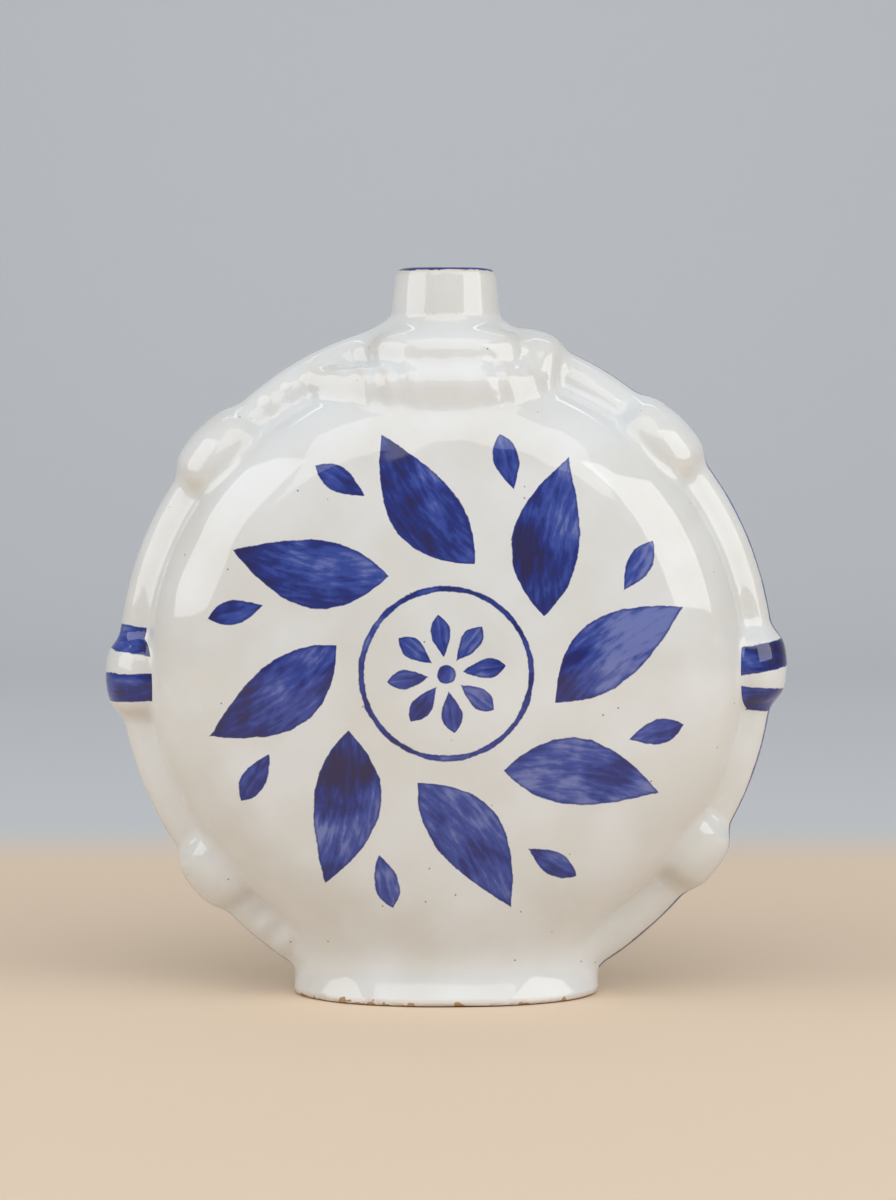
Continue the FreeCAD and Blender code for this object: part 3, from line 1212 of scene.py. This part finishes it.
    def cut_out(self, node: str, depth: float) -> bpy.types.Object:
        """Give a node's share of the skin its thickness and make it an object.

        Args:
            node: The node that it stands for.
            depth: Its thickness in millimetres.

        Returns:
            The new object, in metres.
        """
        used = np.unique(np.concatenate(self.faces[node]))
        number = {int(old): new for new, old in enumerate(used)}
        faces = [[number[i] for i in face] for face in self.faces[node]]
        points, normals, ridges = self.points[used], self.normals[used], self.ridges[used]
        count = len(points)
        edges = {(a, b) for face in faces for a, b in zip(face, face[1:] + face[:1])}
        backs = [[i + count for i in reversed(face)] for face in faces]
        walls = [[b, a, a + count, b + count] for a, b in sorted(edges) if (b, a) not in edges]
        mesh = bpy.data.meshes.new(node + self.SUFFIX)
        mesh.from_pydata((MM * np.concatenate([points, points - depth * normals])).tolist(), [],
                         faces + backs + walls)
        mesh.polygons.foreach_set("use_smooth", [True] * len(mesh.polygons))
        corners = np.zeros(len(mesh.loops), dtype=int)
        mesh.loops.foreach_get("vertex_index", corners)
        looks = np.concatenate([normals, -normals])[corners]
        looks[len(looks) - sum(map(len, walls)):] = 0.0
        mesh.normals_split_custom_set(looks.tolist())
        bend = mesh.attributes.new("ridge", "FLOAT", "POINT")
        bend.data.foreach_set("value", np.concatenate([ridges, ridges]).astype(np.float32))
        return set_down(node + self.SUFFIX, mesh)


@dataclass(frozen=True, kw_only=True)
class StrapSide:
    """One side of the strap: its two ends and the spacing of its beads, with turns in degrees."""

    side: Side
    down: int
    shoulder_end: float
    shoulder_rise: float
    heel_end: float
    shoulder_turn: float
    heel_turn: float
    middle_turn: float
    bands: tuple[Stripe, ...]
    shoulder_twist: float = 0.0
    heel_twist: float = 0.0
    heel_rise: float = 6.0
    slack: float = 0.8
    bead_lengths: Triple = (38.0, 32.0, 32.0)

    def angles(self) -> dict[Level, float]:
        """Work out where the beads sit.

        Returns:
            Each bead's angle from +X towards +Z.
        """
        upper = self.shoulder_end + self.down * self.shoulder_turn
        lower = self.heel_end - self.down * self.heel_turn
        middle = (upper + lower) / 2 + self.down * self.middle_turn
        return {Level.UPPER: upper, Level.MIDDLE: middle, Level.LOWER: lower}

    def runs(self, path: StrapPath) -> list[StrapRun]:
        """Lay the strap's four runs, from the neck down to the foot.

        Args:
            path: The strap's course.

        Returns:
            The runs.
        """
        upper, middle, lower = self.angles().values()
        name = f"{self.side.value}_strap_"
        between = {"path": path, "slack": self.slack, "bands": self.bands}
        return [
            StrapRun(node=name + "shoulder", path=path, start=upper, end=self.shoulder_end,
                     end_rise=self.shoulder_rise, twist_depth=self.shoulder_twist),
            StrapRun(node=name + "upper", start=upper, end=middle, **between),
            StrapRun(node=name + "lower", start=middle, end=lower, **between),
            StrapRun(node=name + "heel", path=path, start=lower, end=self.heel_end,
                     end_rise=self.heel_rise, twist_depth=self.heel_twist),
        ]

    def beads(self, path: StrapPath) -> list[Bead]:
        """Thread the side's three beads.

        Args:
            path: The strap's course.

        Returns:
            The beads.
        """
        return [Bead(node=f"{self.side.value}_bead_{level.value}", path=path, angle=angle, length=length,
                     bands=self.bands if level is Level.MIDDLE else ())
                for (level, angle), length in zip(self.angles().items(), self.bead_lengths)]


@dataclass
class Flask:
    """The whole flask, with its clay pieces in the order in which the potter lays them on."""

    body: DiscBody
    foot: Foot
    straps: list[StrapRun]
    beads: list[Bead]
    neck: Neck
    folds: list[KnotFold]

    @classmethod
    def from_frame(cls) -> "Flask":
        """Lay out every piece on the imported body.

        Returns:
            The flask, still without meshes.
        """
        body, neck = DiscBody.from_frame(), Neck.from_frame()
        foot, path = Foot(body=body), StrapPath(body)
        left_rise, keeper_rise = 6.0, 3.0
        keeper_inset, heel_inset = 2.0, 18.0
        lower_overlap, upper_overlap = 8.0, -3.0
        keeper_offset = neck.skirt_half_width - keeper_inset
        heel_offset = foot.waist_half_width - heel_inset
        keeper_angle = math.degrees(math.acos(keeper_offset / (path.path_radius + keeper_rise)))
        neck_end = 90 + math.degrees(math.asin(neck.wall_middle / (path.path_radius + left_rise)))
        foot_end = math.degrees(math.acos(heel_offset / (path.path_radius + StrapSide.heel_rise)))
        left = StrapSide(
            side=Side.LEFT, down=1, shoulder_end=neck_end, shoulder_rise=left_rise, heel_end=180 + foot_end,
            shoulder_turn=39.0, heel_turn=28.0, middle_turn=3.0, shoulder_twist=0.5, heel_twist=1.0,
            bands=(Stripe(slant=(0.12, 0.0, 1.0), offset=132.5, width=11.0),
                   Stripe(slant=(-0.05, 0.0, 1.0), offset=135.0, width=12.0)))
        right = StrapSide(
            side=Side.RIGHT, down=-1, shoulder_end=keeper_angle, shoulder_rise=keeper_rise,
            heel_end=-foot_end, shoulder_turn=28.0, heel_turn=33.0, middle_turn=5.0,
            bands=(Stripe(slant=(-0.15, 0.0, 1.0), offset=121.5, width=11.5),
                   Stripe(slant=(0.12, 0.0, 1.0), offset=139.0, width=10.5)))
        keeper = Bead(node="right_keeper", path=path, angle=keeper_angle, length=25.0,
                      rise=keeper_rise, swell=4.0)
        folds = [
            KnotFold(node="knot_lower_fold", body=body, skirt_half_depth=neck.skirt_half_depth,
                     right_end=keeper_offset + lower_overlap, half_length=50.0, radius=9.5,
                     lift=-10.0, stand=11.0, bow=14.0, sag=1.0, crease_depth=0.7),
            KnotFold(node="knot_upper_fold", body=body, skirt_half_depth=neck.skirt_half_depth,
                     right_end=keeper_offset + upper_overlap, half_length=31.0, radius=7.5,
                     lift=4.5, stand=5.5, bow=7.0, sag=0.5),
        ]
        return cls(body, foot, [*left.runs(path), *right.runs(path)],
                   [*left.beads(path), *right.beads(path), keeper], neck, folds)

    def build_and_dress(self) -> None:
        """Make the skin, cut every piece out of it and finish it."""
        forms = [self.body, self.foot, *self.straps, *self.beads, self.neck, *self.folds]
        skin = GlazeSkin(forms, self.neck, self.foot)
        LOG.info("skin: %d points", len(skin.points))
        for form in forms:
            form.dress(form.build(skin))


@dataclass(frozen=True, kw_only=True)
class SoftBox:
    """A large diffused studio lamp, in metres and watts."""

    name: str
    place: Triple
    aim: Triple
    width: float
    height: float
    power: float

    def hang(self) -> None:
        """Add the lamp to the scene."""
        lamp = bpy.data.lights.new(self.name, "AREA")
        lamp.shape = "RECTANGLE"
        lamp.size, lamp.size_y = self.width, self.height
        lamp.energy = self.power
        set_down(self.name, lamp, self.place, self.aim)


@dataclass(frozen=True)
class Studio:
    """The pale stage, the soft lights and the camera, with sizes in metres."""

    camera_distance: float = 1.4
    camera_height: float = 0.25
    aim: tuple[float, float] = (0.0007, 0.1634)
    mm_per_pixel: float = 0.413
    stage_reach: float = 25.0
    wall_height: float = 5.0
    bend_start: float = 1.6
    bend_radius: float = 1.0
    bend_steps: int = 16
    colour_fade: Stretch = (0.36, 0.56)
    floor_colour: str = "#e4cfb6"
    wall_colour: str = "#cdd0d3"
    paper_roughness: float = 0.9
    air_colour: str = "#e2e6ec"
    air_strength: float = 0.44
    lamps: tuple[SoftBox, ...] = (
        SoftBox(name="softbox_left", place=(-1.31, -0.45, 0.85), aim=(0.0, 0.0, 0.2),
                width=1.3, height=1.1, power=8.5),
        SoftBox(name="softbox_right", place=(1.28, -0.66, 0.82), aim=(0.0, 0.0, 0.2),
                width=1.3, height=1.0, power=10.0),
        SoftBox(name="softbox_top", place=(0.0, -1.3, 1.6), aim=(0.0, 0.0, 0.15),
                width=2.3, height=1.5, power=15.0),
        SoftBox(name="softbox_wall", place=(0.0, 0.9, 2.1), aim=(0.0, 2.6, 0.9),
                width=2.4, height=0.8, power=14.0),
    )

    def build(self) -> None:
        """Set up the stage, the lights and the camera."""
        self.stage()
        for lamp in self.lamps:
            lamp.hang()
        world = bpy.data.worlds.new("studio_air")
        world.use_nodes = True
        background = world.node_tree.nodes["Background"].inputs
        background["Color"].default_value = linear(self.air_colour)
        background["Strength"].default_value = self.air_strength
        bpy.context.scene.world = world
        self.camera()

    def stage(self) -> None:
        """Lay pale paper that fades from sand to grey behind the flask and curves up into a wall."""
        turns = [math.pi / 2 * i / self.bend_steps for i in range(self.bend_steps + 1)]
        bend = [(self.bend_start + self.bend_radius * math.sin(turn),
                 self.bend_radius - self.bend_radius * math.cos(turn)) for turn in turns]
        profile = [(-self.stage_reach, 0.0), *bend, (self.bend_start + self.bend_radius, self.wall_height)]
        mesh = bpy.data.meshes.new("stage_floor")
        mesh.from_pydata([(x, y, z) for y, z in profile for x in (-self.stage_reach, self.stage_reach)], [],
                         [[2 * i, 2 * i + 1, 2 * i + 3, 2 * i + 2] for i in range(len(profile) - 1)])
        mesh.polygons.foreach_set("use_smooth", [True] * len(mesh.polygons))
        # Matt paper off the roll scatters light evenly, so the flask has no mirror image in it.
        sheet = NodeSheet.blank("matt_paper_rolled")
        behind = sheet.add("SeparateXYZ", (sheet.add("TexCoord", out="Object"),), "Y")
        colour = sheet.fade(behind, self.colour_fade, self.floor_colour, self.wall_colour)
        paper = sheet.add("BsdfPrincipled", {"Base Color": colour, "Roughness": self.paper_roughness})
        sheet.add("OutputMaterial", {"Surface": paper})
        mesh.materials.append(sheet.material)
        floor = set_down("stage_floor", mesh)

    def camera(self) -> None:
        """Stand the camera where the photograph was taken from."""
        lens = bpy.data.cameras.new("camera")
        lens.sensor_fit = "VERTICAL"
        lens.sensor_height = SENSOR_MM
        lens.lens = self.camera_distance / (self.mm_per_pixel * MM) * SENSOR_MM / PHOTO_HEIGHT
        side, height = self.aim
        place = (side, -self.camera_distance, self.camera_height)
        bpy.context.scene.camera = set_down("camera", lens, place, (side, 0.0, height))


def main() -> None:
    """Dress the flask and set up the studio."""
    logging.basicConfig(level=logging.INFO, format="%(name)s %(message)s")
    bpy.context.scene.view_settings.view_transform = "Standard"
    Flask.from_frame().build_and_dress()
    Studio().build()


if __name__ == "__main__":
    main()
